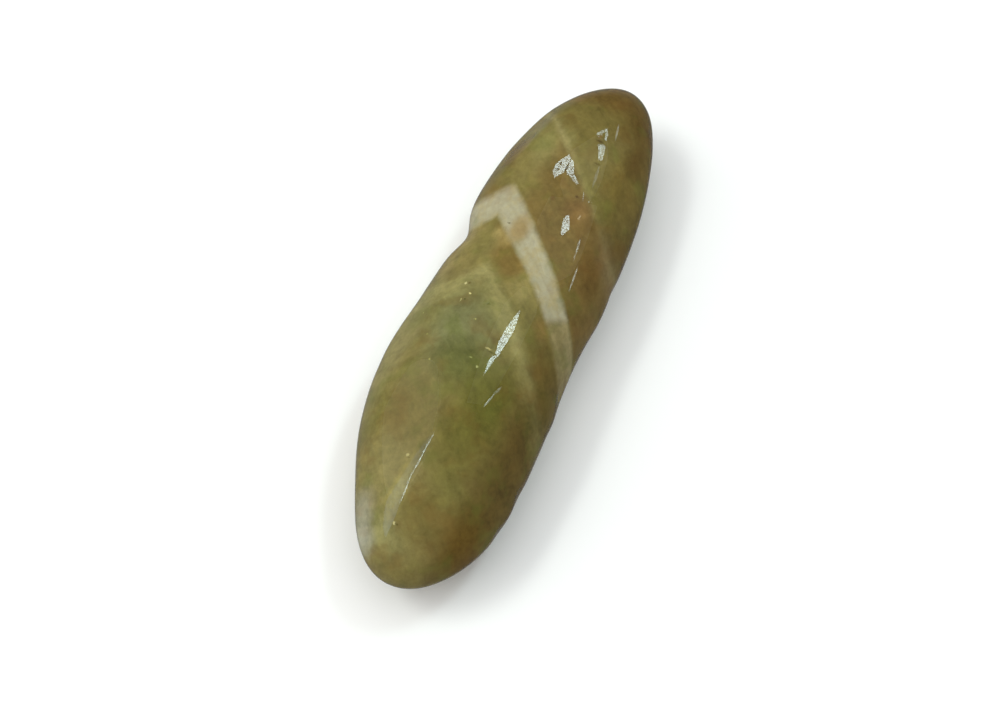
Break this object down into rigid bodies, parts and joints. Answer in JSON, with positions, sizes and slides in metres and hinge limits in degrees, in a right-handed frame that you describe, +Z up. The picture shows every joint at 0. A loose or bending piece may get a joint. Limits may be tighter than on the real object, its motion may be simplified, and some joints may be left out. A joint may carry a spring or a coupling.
{
  "type": "tumbled prasiolite pebble",
  "caption": "Long tumbled and polished stone with a narrow waist between a large and a small lobe, cloudy olive green with cream bands, resting on its flattest side.",
  "frame": {"origin": "middle of the bounding box in X and Y, on the flat worn face that the stone rests on", "axes": "+X along the stone towards its small lobe, +Z up out of the resting face, +Y towards the side with the notch"},
  "size_m": [0.0478, 0.0148, 0.0113],
  "materials": {
    "prasiolite": "polished"
  },
  "bodies": {
    "root": {"stone": "prasiolite"}
  },
  "joints": []
}
